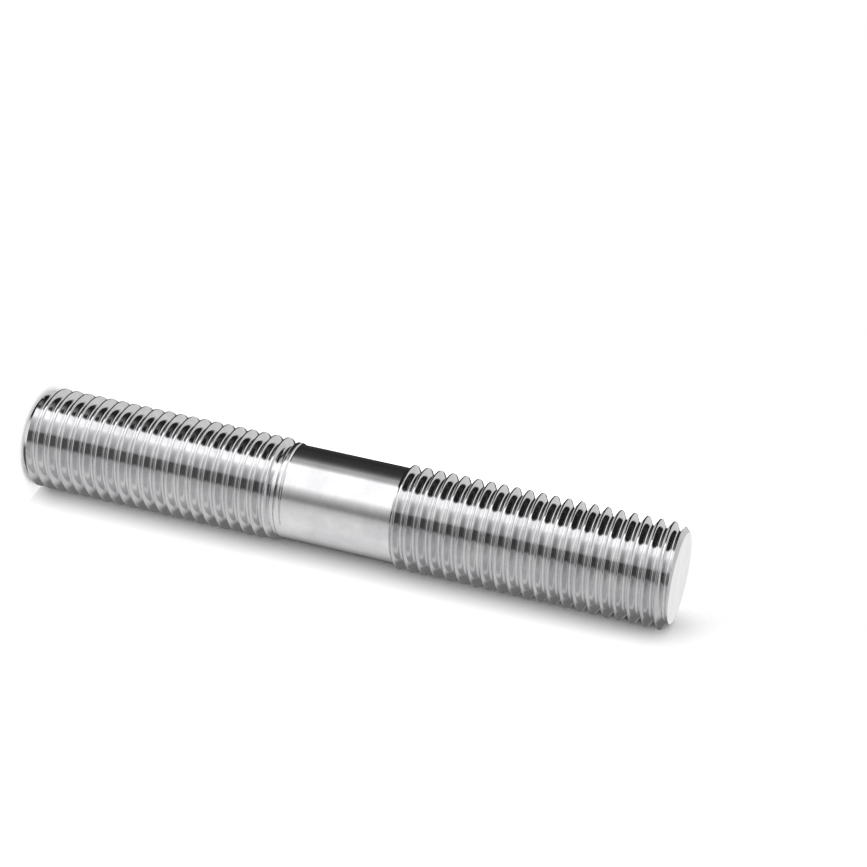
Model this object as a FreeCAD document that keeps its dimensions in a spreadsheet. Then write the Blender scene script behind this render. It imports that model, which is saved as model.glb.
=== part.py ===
import FreeCAD, Part
import math
import os
import Sketcher
from FreeCAD import Placement, Rotation, Vector

# Double ended stud with the 2 mm coarse thread of a 16 mm screw at both ends, right handed.
# It stands on its lower end face along +Z, with the origin in the middle of that face.
# The threads are rolled on a bar of about the pitch diameter, which shows between them.

doc = FreeCAD.newDocument("double_ended_stud")
sizes = doc.addObject("Spreadsheet::Sheet", "sizes")

# Lengths along the axis, in mm: both threaded ends with their run-outs, the plain bar between
# them, the run-out where the groove grows shallow, and the fall of the last crest to the bar
sizes.set("B1", "41.5")
sizes.setAlias("B1", "lower_thread_length")
sizes.set("B2", "43")
sizes.setAlias("B2", "upper_thread_length")
sizes.set("B3", "18.5")
sizes.setAlias("B3", "shank_length")
sizes.set("B4", "=lower_thread_length + shank_length + upper_thread_length")
sizes.setAlias("B4", "total_length")
sizes.set("B5", "1.6")
sizes.setAlias("B5", "runout_length")
sizes.set("B6", "0.9")
sizes.setAlias("B6", "shoulder_length")

# Diameters, in mm: over the crests, 16 mm less the play of a medium fit, and the plain bar,
# which lies below the crests by the relief at about the pitch diameter. The last of the
# thread lies below the bar by the step. A 45 degree chamfer leads to each end face.
sizes.set("B7", "15.8")
sizes.setAlias("B7", "major_diameter")
sizes.set("B8", "0.6")
sizes.setAlias("B8", "shank_relief")
sizes.set("B9", "=major_diameter - 2 * shank_relief")
sizes.setAlias("B9", "shank_diameter")
sizes.set("B10", "0.05")
sizes.setAlias("B10", "shoulder_step")
sizes.set("B11", "1.1")
sizes.setAlias("B11", "end_chamfer")

# Thread: advance in one turn in mm, degrees between the two sides of the groove, and the
# number of flats that one turn is laid in
sizes.set("B12", "2")
sizes.setAlias("B12", "pitch")
sizes.set("B13", "60")
sizes.setAlias("B13", "flank_angle")
sizes.set("B14", "28")
sizes.setAlias("B14", "flats_per_turn")

# Degrees round the axis at which each thread starts
sizes.set("B15", "180")
sizes.setAlias("B15", "low_thread_start")
sizes.set("B16", "210")
sizes.setAlias("B16", "high_thread_start")
doc.recompute()

pitch = float(sizes.pitch)
steps = int(round(sizes.flats_per_turn))
crest_radius = sizes.major_diameter / 2
face_radius = crest_radius - sizes.end_chamfer
last_radius = sizes.shank_diameter / 2 - sizes.shoulder_step

# Thread section after ISO 68-1: crest flat P/8, root flat P/6, straight flanks between them
crest_width = pitch / 8
root_width = pitch / 6
flank_slope = math.tan(math.radians(sizes.flank_angle / 2))
thread_depth = (pitch - crest_width - root_width) / 2 / flank_slope
root_radius = crest_radius - thread_depth


def blank_radius(height, length):
    """Radius of the turned blank: end chamfer, full cylinder, fall to the shank."""
    chamfer = face_radius + height
    fall = min(1, (length - height) / sizes.shoulder_length)
    return min(chamfer, last_radius + fall * (crest_radius - last_radius))


def groove_radius(middle, length):
    """Radius at the bottom of the groove: level, then rising to the shank in the run-out."""
    to_go = (length - root_width / 2 - middle) / sizes.runout_length
    climb = 1 - max(0, min(1, to_go))
    return root_radius + climb * (last_radius - root_radius)


def edge_point(edge, step, length):
    """Point of one of the four edges that wind round with the groove, after so many steps.

    Edges 0 and 3 are the crest edges below and above the groove, 1 and 2 its root edges.
    The flanks keep their slope in the run-out, so the groove grows narrow as it rises.
    """
    middle = (crest_width + pitch) / 2 + pitch * (step / steps - 1)
    bottom = groove_radius(middle, length)
    reach = (crest_radius - bottom) * flank_slope
    offsets = (-root_width / 2 - reach, -root_width / 2, root_width / 2, root_width / 2 + reach)
    height = middle + offsets[edge]
    level = min(max(height, 0), length)
    radius = blank_radius(level, length) if height > 0 else face_radius
    if edge in (1, 2):
        radius = min(radius, bottom) if height > 0 else face_radius
    turn = 2 * math.pi * step / steps
    return Vector(radius * math.cos(turn), radius * math.sin(turn), level)


def flats(corners):
    """One flat face through the corners, or two where the four don't lie in a plane."""
    kept = []
    for corner in corners:
        if all(corner.distanceToPoint(other) > 1e-6 for other in kept):
            kept.append(corner)
    heights = [corner.z for corner in kept]
    if len(kept) < 3 or max(heights) - min(heights) < 1e-9:
        return []
    if len(kept) == 4:
        normal = (kept[1] - kept[0]).cross(kept[3] - kept[0]).normalize()
        if abs(normal.dot(kept[2] - kept[0])) > 1e-6:
            return flats(kept[:3]) + flats([kept[0], kept[2], kept[3]])
    return [Part.Face(Part.makePolygon(kept + kept[:1]))]


def end_disc(radius, height):
    """Flat end of a threaded length."""
    rim = [Vector(radius, 0, height)]
    for step in range(1, steps + 1):
        turn = 2 * math.pi * (step % steps) / steps
        rim.append(Vector(radius * math.cos(turn), radius * math.sin(turn), height))
    return Part.Face(Part.makePolygon(rim))


def threaded_end(length):
    """Solid threaded length, with its outer end face on the ground."""
    faces = [end_disc(face_radius, 0), end_disc(last_radius, length)]
    for step in range(-steps, int(math.ceil((length / pitch + 1) * steps))):
        for edge in range(4):
            above = (edge + 1, step) if edge < 3 else (0, step + steps)
            corners = [
                edge_point(edge, step, length),
                edge_point(edge, step + 1, length),
                edge_point(above[0], above[1] + 1, length),
                edge_point(above[0], above[1], length),
            ]
            faces.extend(flats(corners))
    shell = Part.makeShell(faces)
    shell.sewShape()
    solid = Part.makeSolid(shell)
    if solid.Volume < 0:
        solid.reverse()
    return solid


# Plain shank: a round bar from the end of one thread to the start of the other
shank = doc.addObject("PartDesign::Body", "shank")
ground = [plane for plane in shank.Origin.OriginFeatures if plane.Role == "XY_Plane"][0]
section = shank.newObject("Sketcher::SketchObject", "shank_section")
section.AttachmentSupport = [(ground, "")]
section.MapMode = "FlatFace"
circle = Part.Circle(Vector(0, 0, 0), Vector(0, 0, 1), sizes.shank_diameter / 2)
section.addGeometry(circle, False)
section.addConstraint(Sketcher.Constraint("Coincident", 0, 3, -1, 1))
section.addConstraint(Sketcher.Constraint("Diameter", 0, sizes.shank_diameter))
section.setExpression("Constraints[1]", "sizes.shank_diameter")
bar = shank.newObject("PartDesign::Pad", "shank_bar")
bar.Profile = section
bar.setExpression("Length", "sizes.shank_length")
shank.setExpression("Placement.Base.z", "sizes.lower_thread_length")

# Lower thread, turned to its own start
low_thread = doc.addObject("Part::Feature", "low_thread")
low_thread.Shape = threaded_end(float(sizes.lower_thread_length))
low_thread.Placement = Placement(Vector(0, 0, 0), Rotation(Vector(0, 0, 1), sizes.low_thread_start))

# Upper thread: turned end over end, which keeps it right handed
over = Rotation(Vector(0, 0, 1), sizes.high_thread_start).multiply(Rotation(Vector(1, 0, 0), 180))
high_thread = doc.addObject("Part::Feature", "high_thread")
high_thread.Shape = threaded_end(float(sizes.upper_thread_length))
high_thread.Placement = Placement(Vector(0, 0, 0), over)
high_thread.setExpression("Placement.Base.z", "sizes.total_length")

# The stud is one piece of steel
stud = doc.addObject("Part::MultiFuse", "stud")
stud.Label = "stud"
stud.Refine = False
stud.Shapes = [shank, low_thread, high_thread]
doc.recompute()

for item in doc.Objects:
    if "Invalid" in item.State or "Error" in item.State:
        raise RuntimeError("%s did not rebuild" % item.Label)
if stud.Shape.isNull() or not stud.Shape.isValid() or len(stud.Shape.Solids) != 1:
    raise RuntimeError("the stud is not one sound solid")
if abs(stud.Shape.BoundBox.ZLength - sizes.total_length) > 0.01:
    raise RuntimeError("a part of the stud's length is missing")

os.makedirs("parts", exist_ok=True)
stud.Shape.Solids[0].exportStep("parts/stud.step")
print("stud", round(stud.Shape.Volume, 1), "mm3", len(stud.Shape.Faces), "faces")
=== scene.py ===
import math

import bmesh
import bpy
import numpy as np
from mathutils import Matrix, Vector


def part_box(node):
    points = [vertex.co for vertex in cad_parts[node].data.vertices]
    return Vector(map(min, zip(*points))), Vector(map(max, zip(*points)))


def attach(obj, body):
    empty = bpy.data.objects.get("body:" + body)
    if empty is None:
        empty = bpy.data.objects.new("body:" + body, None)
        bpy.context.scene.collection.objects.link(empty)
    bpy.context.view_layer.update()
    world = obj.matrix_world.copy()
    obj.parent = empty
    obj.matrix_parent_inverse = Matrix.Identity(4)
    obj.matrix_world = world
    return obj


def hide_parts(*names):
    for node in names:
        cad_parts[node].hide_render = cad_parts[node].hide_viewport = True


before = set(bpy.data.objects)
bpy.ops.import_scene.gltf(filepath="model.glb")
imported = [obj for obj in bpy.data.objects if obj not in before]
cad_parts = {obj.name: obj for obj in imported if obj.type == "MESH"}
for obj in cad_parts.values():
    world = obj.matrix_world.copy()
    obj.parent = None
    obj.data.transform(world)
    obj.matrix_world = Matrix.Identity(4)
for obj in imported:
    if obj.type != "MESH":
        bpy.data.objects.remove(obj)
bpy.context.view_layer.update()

# Sizes of the stud in metres, as in the part's source
MM = 0.001
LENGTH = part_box("stud")[1][2]
CREST_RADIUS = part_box("stud")[1][0]
PITCH = 2 * MM
THREAD_DEPTH = 1.2268 * MM
SHANK_RADIUS = CREST_RADIUS - 0.6 * MM
FACE_RADIUS = CREST_RADIUS - 1.1 * MM
LOW_THREAD_START = math.radians(180)
HIGH_THREAD_START = math.radians(210)

# Where the middle of the first groove is at the thread's start, in pitches from the end face:
# the crest's middle is 1/16 inside the face, the groove 1/2 below it, and one more winding
# below that is laid for the end face to cut through
FIRST_GROOVE = 1 / 16 - 1 / 2 - 1

# Run-outs, as heights from the stud's end: where the crest starts to fall and has reached the
# shank, and where the groove starts to grow shallow and has gone
LOW_CREST_FALL = (40.5 * MM, 42.9 * MM)
LOW_GROOVE_RISE = (41.0 * MM, 42.6 * MM)
HIGH_CREST_FALL = (42.3 * MM, 43.2 * MM)
HIGH_GROOVE_RISE = (41.3 * MM, 42.2 * MM)

# How far the skin of each threaded end reaches past its run-out, and the width of the narrow
# rings at the shank's ends that keep its shading even
SKIN_OVERLAP = PITCH / 4
SHANK_RING = 0.3 * MM

# How finely the thread is laid, half its flanks' angle, half its crest flat, and the small
# radii that the rolling dies leave
SECTIONS = 84
HALF_ANGLE = math.radians(30)
HALF_CREST = PITCH / 16
CREST_ROUNDING = 0.08 * MM
ROOT_ROUNDING = 0.1443 * PITCH

# Distances below which a point is on the chamfer's cut, two points are one, and an edge or
# a face has no size, and the angle from which an edge is drawn sharp
ON_THE_CUT = 1e-9
WELD_DISTANCE = 1e-6
NO_SIZE = 1e-7
SHARP_ANGLE = math.radians(32)

# Where the photograph was taken from, and the direction that is up in it: the stud lies on
# its side there, so up in the photograph is a level direction here
PHOTO_UP = math.radians(-146.7)
CAMERA_PLACE = Vector((-37.9, -308.3, 150.7)) * MM
CAMERA_TARGET = Vector((-13.02, 1.05, 62.27)) * MM
CAMERA_LENS = 89.47
SENSOR_WIDTH = 36
CLIP_START = 0.01


def across(angle, distance):
    """Point at a distance from the stud's axis, in a level direction."""
    return Vector((math.cos(angle) * distance, math.sin(angle) * distance, 0))


# Thread

def groove_section():
    """One pitch of the thread's section, from one crest's middle to just before the next.

    For each point: its place along the axis from the groove's middle and its depth.
    """
    crest_edge = PITCH / 2 - HALF_CREST + CREST_ROUNDING * math.tan(HALF_ANGLE)
    flank = []
    for turn in np.radians((0, 20, 40, 60)):
        along = crest_edge - CREST_ROUNDING * math.sin(turn)
        flank.append((along, CREST_ROUNDING * (1 - math.cos(turn))))
    root = []
    for turn in np.radians((60, 40, 20)):
        along = ROOT_ROUNDING * math.sin(turn)
        root.append((along, THREAD_DEPTH - ROOT_ROUNDING * (1 - math.cos(turn))))
    for share in (0.25, 0.5, 0.75):
        flank.append(tuple(np.array(flank[3]) * (1 - share) + np.array(root[0]) * share))
    half = flank + root
    below = [(-along, depth) for along, depth in half]
    return np.array([(-PITCH / 2, 0.0)] + below + [(0.0, THREAD_DEPTH)] + half[::-1])


def share_left(height, fade):
    """1 before the fade, 0 after it, and a straight line between."""
    start, end = fade
    return np.clip((end - height) / (end - start), 0, 1)


def threaded_end(crest_fall, groove_rise):
    """Points and faces of one threaded length, with its end face on the ground.

    In the run-out the crest falls to the shank and the groove's bottom rises to it, each by
    its own place along the winding, so that the end of the thread winds round too.
    """
    along, depth = groove_section().T
    length = crest_fall[1] + SKIN_OVERLAP
    rows = len(along)
    windings = np.arange(int(length / PITCH) + 4)
    turn = np.arange(SECTIONS) / SECTIONS
    middle = (PITCH * (turn[:, None] + windings[None, :] + FIRST_GROOVE))[:, :, None]
    crest = middle + np.where(along < 0, -PITCH / 2, PITCH / 2)
    shank_depth = CREST_RADIUS - SHANK_RADIUS
    shallowest = shank_depth * (1 - share_left(crest, crest_fall))
    deepest = shank_depth + (THREAD_DEPTH - shank_depth) * share_left(middle, groove_rise)
    thread = CREST_RADIUS - np.clip(depth, shallowest, deepest).reshape(SECTIONS, -1)
    height = (middle + along).reshape(SECTIONS, -1)
    inside = np.clip(height, 0, length)
    blank = np.minimum(CREST_RADIUS, FACE_RADIUS + inside)

    # the nearest row moves onto the edge where the chamfer cuts the thread
    excess = thread - blank
    excess[np.abs(excess) < ON_THE_CUT] = 0
    count = height.shape[1]
    for step in range(SECTIONS):
        for row in range(count - 1):
            here, there = excess[step, row], excess[step, row + 1]
            low, high = inside[step, row], inside[step, row + 1]
            if here * there >= 0 or low <= 0:
                continue
            part = here / (here - there)
            moved = row if part < 0.5 else row + 1
            inside[step, moved] = low + part * (high - low)
            radius = thread[step, row] + part * (thread[step, row + 1] - thread[step, row])
            thread[step, moved] = blank[step, moved] = radius
            excess[step, moved] = 0

    radius = np.where(height > 0, np.minimum(thread, blank), FACE_RADIUS)
    angle = 2 * math.pi * turn[:, None]
    points = np.stack([radius * np.cos(angle), radius * np.sin(angle), inside], -1)

    faces = []
    for step in range(SECTIONS):
        beside, shift = (step + 1, 0) if step < SECTIONS - 1 else (0, rows)
        for row in range(count - 1 - shift):
            low = step * count + row
            next_low = beside * count + row + shift
            corners = [low, next_low, next_low + 1, low + 1]
            levels = [height[c // count, c % count] for c in corners]
            if max(levels) > 0 and min(levels) < length:
                faces.append(corners)
    return points.reshape(-1, 3), faces


def lathe(profile):
    """Points and faces of a surface turned round the axis, from radii and heights."""
    angle = 2 * math.pi * np.arange(SECTIONS) / SECTIONS
    points = [
        (radius * math.cos(a), radius * math.sin(a), height)
        for radius, height in profile
        for a in angle
    ]
    faces = []
    for ring in range(len(profile) - 1):
        for step in range(SECTIONS):
            beside = (step + 1) % SECTIONS
            low, high = ring * SECTIONS, (ring + 1) * SECTIONS
            faces.append([low + step, low + beside, high + beside, high + step])
    return np.array(points), faces


def link_object(name, data):
    """New object in the scene with this mesh, light or camera."""
    obj = bpy.data.objects.new(name, data)
    bpy.context.scene.collection.objects.link(obj)
    return obj


def mesh_object(name, parts):
    """One welded object from several sets of points and faces."""
    points, faces, first = [], [], 0
    for part_points, part_faces in parts:
        points.extend(map(tuple, part_points))
        faces.extend([[first + corner for corner in face] for face in part_faces])
        first += len(part_points)
    mesh = bpy.data.meshes.new(name)
    mesh.from_pydata(points, [], faces)
    obj = link_object(name, mesh)
    work = bmesh.new()
    work.from_mesh(mesh)
    bmesh.ops.remove_doubles(work, verts=work.verts, dist=WELD_DISTANCE)
    bmesh.ops.dissolve_degenerate(work, edges=work.edges, dist=NO_SIZE)
    bmesh.ops.recalc_face_normals(work, faces=work.faces)
    for face in work.faces:
        face.smooth = True
    work.to_mesh(mesh)
    work.free()
    mesh.set_sharp_from_angle(angle=SHARP_ANGLE)
    return obj


# The stud, as one skin

def placed(points, start, flip):
    """Threaded end turned to its own start, and turned end over end for the upper one."""
    turned = points * np.array([1, -1, -1]) if flip else points
    cos, sin = math.cos(start), math.sin(start)
    x = turned[:, 0] * cos - turned[:, 1] * sin
    y = turned[:, 0] * sin + turned[:, 1] * cos
    return np.stack([x, y, turned[:, 2] + (LENGTH if flip else 0)], -1)


low_points, low_faces = threaded_end(LOW_CREST_FALL, LOW_GROOVE_RISE)
high_points, high_faces = threaded_end(HIGH_CREST_FALL, HIGH_GROOVE_RISE)
shank_low = LOW_CREST_FALL[1] + SKIN_OVERLAP
shank_high = LENGTH - HIGH_CREST_FALL[1] - SKIN_OVERLAP
shank_rings = (shank_low, shank_low + SHANK_RING, shank_high - SHANK_RING, shank_high)
end_rings = (FACE_RADIUS, FACE_RADIUS * 0.66, FACE_RADIUS * 0.33, 0.0)
stud = mesh_object(
    "polished_stud",
    [
        (placed(low_points, LOW_THREAD_START, False), low_faces),
        (placed(high_points, HIGH_THREAD_START, True), high_faces),
        lathe([(SHANK_RADIUS, height) for height in shank_rings]),
        lathe([(radius, 0.0) for radius in reversed(end_rings)]),
        lathe([(radius, LENGTH) for radius in end_rings]),
    ],
)
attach(stud, "root")
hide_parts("stud")


# Materials

class Tree:
    """Short names for making the nodes of one material or world and linking them."""

    def __init__(self, tree):
        self.tree = tree

    def node(self, kind, **inputs):
        made = self.tree.nodes.new(kind)
        for name, value in inputs.items():
            self.feed(made.inputs[name.replace("_", " ")], value)
        return made

    def feed(self, socket, value):
        if isinstance(value, bpy.types.NodeSocket):
            self.tree.links.new(value, socket)
        else:
            socket.default_value = value

    def math(self, operation, *values):
        made = self.tree.nodes.new("ShaderNodeMath")
        made.operation = operation
        for socket, value in zip(made.inputs, values):
            self.feed(socket, value)
        return made.outputs[0]

    def between(self, value, low, high):
        """0 at low and 1 at high, in a straight line between them."""
        made = self.node("ShaderNodeMapRange", Value=value, From_Min=low, From_Max=high)
        return made.outputs["Result"]

    def ramp(self, share, stops):
        made = self.node("ShaderNodeValToRGB", Fac=share)
        elements = made.color_ramp.elements
        elements[0].position, elements[1].position = 0, 1
        for position, level in stops:
            if position in (0, 1):
                stop = elements[0 if position == 0 else len(elements) - 1]
            else:
                stop = elements.new(position)
            stop.color = (level, level, level, 1)
        return made.outputs["Color"]

    def mix(self, share, first, second):
        made = self.tree.nodes.new("ShaderNodeMix")
        made.data_type = "RGBA"
        self.feed(made.inputs["Factor"], share)
        self.feed(made.inputs[6], first)
        self.feed(made.inputs[7], second)
        return made.outputs[2]

    def mix_shader(self, share, first, second):
        made = self.tree.nodes.new("ShaderNodeMixShader")
        for socket, value in zip(made.inputs, (share, first, second)):
            self.feed(socket, value)
        return made.outputs[0]


def new_material(name):
    material = bpy.data.materials.new(name)
    material.use_nodes = True
    material.node_tree.nodes.clear()
    return material, Tree(material.node_tree)


# Steel: its grain, drawn out round the axis, the size of its cloudy patches and the noise
# levels between which they change, their two colours, the height of the relief that both
# give, and how rough it is at least and how much more the grain adds
GRAIN_SCALE = (500, 500, 4000)
PATCH_SCALE = 260
PATCH_LEVELS = (0.35, 0.65)
PATCH_COLOURS = ((0.7, 0.7, 0.715, 1), (0.81, 0.81, 0.815, 1))
PATCH_RELIEF = 0.8
RELIEF_HEIGHT = 0.004 * MM
ROUGHNESS = 0.04
GRAIN_ROUGHNESS = 0.06


def steel_material():
    """Bright steel with the fine marks of rolling round it and faint cloudy patches."""
    material, tree = new_material("bright_rolled_steel")
    place = tree.node("ShaderNodeTexCoord").outputs["Object"]
    lines = tree.node("ShaderNodeMapping", Vector=place, Scale=GRAIN_SCALE).outputs[0]
    grain = tree.node("ShaderNodeTexNoise", Vector=lines, Scale=1, Detail=4, Roughness=0.6)
    broad = tree.node(
        "ShaderNodeTexNoise", Vector=place, Scale=PATCH_SCALE, Detail=5, Roughness=0.65
    )
    grain, broad = grain.outputs["Fac"], broad.outputs["Fac"]
    relief = tree.math("ADD", grain, tree.math("MULTIPLY", broad, PATCH_RELIEF))
    bump = tree.node("ShaderNodeBump", Height=relief, Strength=1, Distance=RELIEF_HEIGHT)
    steel = tree.node("ShaderNodeBsdfPrincipled", Metallic=1, Normal=bump.outputs[0])
    colour = tree.mix(tree.between(broad, *PATCH_LEVELS), *PATCH_COLOURS)
    tree.feed(steel.inputs["Base Color"], colour)
    roughness = tree.math("MULTIPLY_ADD", grain, GRAIN_ROUGHNESS, ROUGHNESS)
    tree.feed(steel.inputs["Roughness"], roughness)
    tree.node("ShaderNodeOutputMaterial", Surface=steel.outputs[0])
    return material


stud.data.materials.append(steel_material())


# Floor: its matt colour, the distances from its middle where its glow starts to grow and is
# white, and the width of its soft starting edge
MATT_COLOUR = (0.85, 0.85, 0.85, 1)
GLOW_DISTANCES = (0.1, 0.3)
SOFT_EDGE = 4 * MM


def floor_material(name, lift, start):
    """Pale matt floor, lifted to white away from the stud, and clear from its back.

    The lift is the glow near the stud, where the shadow shows. The floor fades in softly from
    its start along x.
    """
    material, tree = new_material(name)
    path = tree.node("ShaderNodeLightPath").outputs
    shown = tree.math("MAXIMUM", path["Is Camera Ray"], path["Is Glossy Ray"])
    shown = tree.math("MAXIMUM", shown, path["Is Transmission Ray"])
    matt = tree.node("ShaderNodeBsdfDiffuse", Color=MATT_COLOUR)
    place = tree.node("ShaderNodeTexCoord").outputs["Object"]
    away = tree.tree.nodes.new("ShaderNodeVectorMath")
    away.operation = "LENGTH"
    tree.feed(away.inputs[0], place)
    level = tree.between(away.outputs["Value"], *GLOW_DISTANCES)
    level = tree.math("MULTIPLY_ADD", level, 1 - lift, lift)
    glow = tree.node("ShaderNodeEmission", Strength=tree.math("MULTIPLY", shown, level))
    both = tree.tree.nodes.new("ShaderNodeAddShader")
    tree.feed(both.inputs[0], matt.outputs[0])
    tree.feed(both.inputs[1], glow.outputs[0])
    clear = tree.node("ShaderNodeBsdfTransparent").outputs[0]
    back = tree.node("ShaderNodeNewGeometry").outputs["Backfacing"]
    along_x = tree.node("ShaderNodeSeparateXYZ", Vector=place).outputs["X"]
    outside = tree.between(along_x, start + SOFT_EDGE, start)
    surface = tree.mix_shader(tree.math("MAXIMUM", back, outside), both.outputs[0], clear)
    tree.node("ShaderNodeOutputMaterial", Surface=surface)
    return material


# Stage: a level floor that the stud stands on, and the sheet that it lies on in the
# photograph, which is upright here and starts under the stud, so that it hides nothing from
# the other side. Both only catch its shadow.

REACH = 0.6


def sheet(name, normal, place, start, lift):
    """Flat sheet facing along its normal, reaching out evenly but for the start on one side."""
    mesh = bpy.data.meshes.new(name)
    corners = [(start, -REACH, 0), (REACH, -REACH, 0), (REACH, REACH, 0), (start, REACH, 0)]
    mesh.from_pydata(corners, [], [(0, 1, 2, 3)])
    mesh.materials.append(floor_material("pale_" + name, lift, start))
    obj = link_object(name, mesh)
    obj.rotation_mode = "QUATERNION"
    obj.rotation_quaternion = normal.to_track_quat("Z", "Y")
    obj.location = place
    obj.visible_diffuse = False
    obj.visible_glossy = False
    obj.visible_transmission = False
    obj.visible_shadow = False


under_the_stud = across(PHOTO_UP, -CREST_RADIUS) + Vector((0, 0, LENGTH / 2))
sheet("level_floor", Vector((0, 0, 1)), Vector((0, 0, 0)), start=-REACH, lift=0.34)
sheet("photo_floor", across(PHOTO_UP, 1), under_the_stud, start=-3 * MM, lift=0)


# Light: a soft box over each floor, and a room with dark and bright sides

def soft_box(name, direction, distance, width, height, power):
    """Rectangular lamp seen from the stud's middle in this direction, and not mirrored."""
    light = bpy.data.lights.new(name, "AREA")
    light.shape = "RECTANGLE"
    light.size = width
    light.size_y = height
    light.energy = power
    obj = link_object(name, light)
    middle = Vector((0, 0, LENGTH / 2))
    obj.location = middle + direction * distance
    obj.rotation_mode = "QUATERNION"
    obj.rotation_quaternion = direction.to_track_quat("Z", "Y")
    obj.visible_camera = False
    obj.visible_glossy = False


sheet_side = across(PHOTO_UP + math.radians(27), 1)
soft_box("sheet_box", sheet_side, distance=0.6, width=0.78, height=1.0, power=8.2)
soft_box("ceiling_box", Vector((0, 0, 1)), distance=0.7, width=0.7, height=0.7, power=6.0)

# Brightness of the room by direction round the stud, in degrees from up in the photograph:
# where the direction climbs, in the narrow belt that the shank mirrors to the camera, and
# everywhere else below
UPPER_ROOM = [
    (-178, 0.42), (-164, 0.2), (-141, 0.15), (-134, 0.9), (-126, 1.0), (-119, 0.72),
    (-62, 0.72), (-50, 1.0), (35, 1.0), (48, 0.4), (70, 0.4), (85, 0.75), (130, 0.75),
    (165, 0.68), (175, 0.6),
]
BELT_ROOM = [
    (-176, 0.45), (-155, 0.15), (-130, 0.06), (-84, 0.03), (-55, 0.05), (-46, 0.09), (-39, 0.22),
    (-34, 0.42), (-25, 0.52), (-20, 0.8), (-15, 1.35), (35, 1.35), (46, 0.79), (55, 0.49),
    (63, 0.31), (69, 0.31), (78, 0.6), (92, 0.8), (130, 0.9), (155, 0.78), (170, 0.66),
]
LOWER_ROOM = [
    (-175, 0.25), (-150, 0.15), (-120, 0.02), (-25, 0.02), (-21, 0.2), (-17, 1.6), (2, 1.7),
    (10, 1.1), (20, 0.8), (32, 0.62), (42, 0.5), (47, 0.11), (72, 0.1), (79, 0.45), (110, 0.6),
    (150, 0.55),
]

# Where the room changes, as heights of the direction: into the upper room, into the grey
# ceiling, the belt's middle and how far from it the belt starts to fade and has gone, and
# into a dimmer and then a pale part of the lower room, under the stud
INTO_UPPER = (-0.05, 0.05)
INTO_CEILING = (0.5, 0.65)
BELT_MIDDLE = -0.31
BELT_FADE = (0.035, 0.07)
INTO_DIM = (-0.58, -0.7)
INTO_PALE = (-0.84, -0.88)
DIMMED_BY = 0.38
CEILING_GREY = (0.65, 0.65, 0.65, 1)
PALE_GREY = (0.9, 0.9, 0.9, 1)
BLACK = (0, 0, 0, 1)
WHITE = (1, 1, 1, 1)

# Level of the plain room that matt things are lit by
PLAIN_LEVEL = 0.05


def round_the_stud(tree, share, stops):
    """Ramp over a whole turn, from 180 degrees before up in the photograph to 180 after."""
    ends = sorted(stops)
    gap = ends[0][0] + 360 - ends[-1][0]
    seam = ends[-1][1] + (ends[0][1] - ends[-1][1]) * (180 - ends[-1][0]) / gap
    inner = [((angle + 180) / 360, level) for angle, level in ends]
    return tree.ramp(share, [(0, seam)] + inner + [(1, seam)])


world = bpy.data.worlds.new("studio")
bpy.context.scene.world = world
world.use_nodes = True
world.node_tree.nodes.clear()
room = Tree(world.node_tree)
direction = room.node("ShaderNodeTexCoord").outputs["Generated"]
turned = room.node("ShaderNodeMapping", Vector=direction, Rotation=(0, 0, -PHOTO_UP))
parts = room.node("ShaderNodeSeparateXYZ", Vector=turned.outputs[0])
turn = room.math("ARCTAN2", parts.outputs["Y"], parts.outputs["X"])
share = room.between(turn, -math.pi, math.pi)
height = parts.outputs["Z"]
from_belt = room.math("ABSOLUTE", room.math("SUBTRACT", height, BELT_MIDDLE))
colour = room.mix(
    room.between(from_belt, *BELT_FADE),
    round_the_stud(room, share, BELT_ROOM),
    round_the_stud(room, share, LOWER_ROOM),
)
dimmed = room.mix(DIMMED_BY, colour, BLACK)
colour = room.mix(room.between(height, *INTO_DIM), colour, dimmed)
colour = room.mix(room.between(height, *INTO_PALE), colour, PALE_GREY)
upper = round_the_stud(room, share, UPPER_ROOM)
colour = room.mix(room.between(height, *INTO_UPPER), colour, upper)
colour = room.mix(room.between(height, *INTO_CEILING), colour, CEILING_GREY)

# The camera sees white, the steel mirrors the room made above, and matt things are lit by a
# plain room, also by way of the steel
path = room.node("ShaderNodeLightPath").outputs
plain = room.node("ShaderNodeBackground", Strength=PLAIN_LEVEL).outputs[0]
white = room.node("ShaderNodeBackground", Color=WHITE, Strength=1).outputs[0]
mirrored = room.node("ShaderNodeBackground", Color=colour, Strength=1).outputs[0]
direct = room.math("MAXIMUM", path["Is Camera Ray"], path["Is Transmission Ray"])
first_seen = room.math("LESS_THAN", path["Diffuse Depth"], 0.5)
glossy = room.math("MULTIPLY", path["Is Glossy Ray"], first_seen)
surface = room.mix_shader(glossy, room.mix_shader(direct, plain, white), mirrored)
room.node("ShaderNodeOutputWorld", Surface=surface)

bpy.context.scene.view_settings.view_transform = "Standard"


# Camera

def look(camera, place, target, up):
    """Put the camera here, looking at the target with this direction up in the picture."""
    forward = (target - place).normalized()
    right = forward.cross(up).normalized()
    true_up = right.cross(forward)
    camera.matrix_world = Matrix.LocRotScale(
        place, Matrix((right, true_up, -forward)).transposed().to_quaternion(), None
    )


camera_data = bpy.data.cameras.new("camera")
camera_data.lens = CAMERA_LENS
camera_data.sensor_width = SENSOR_WIDTH
camera_data.clip_start = CLIP_START
camera = link_object("camera", camera_data)
look(camera, CAMERA_PLACE, CAMERA_TARGET, across(PHOTO_UP, 1))
bpy.context.scene.camera = camera
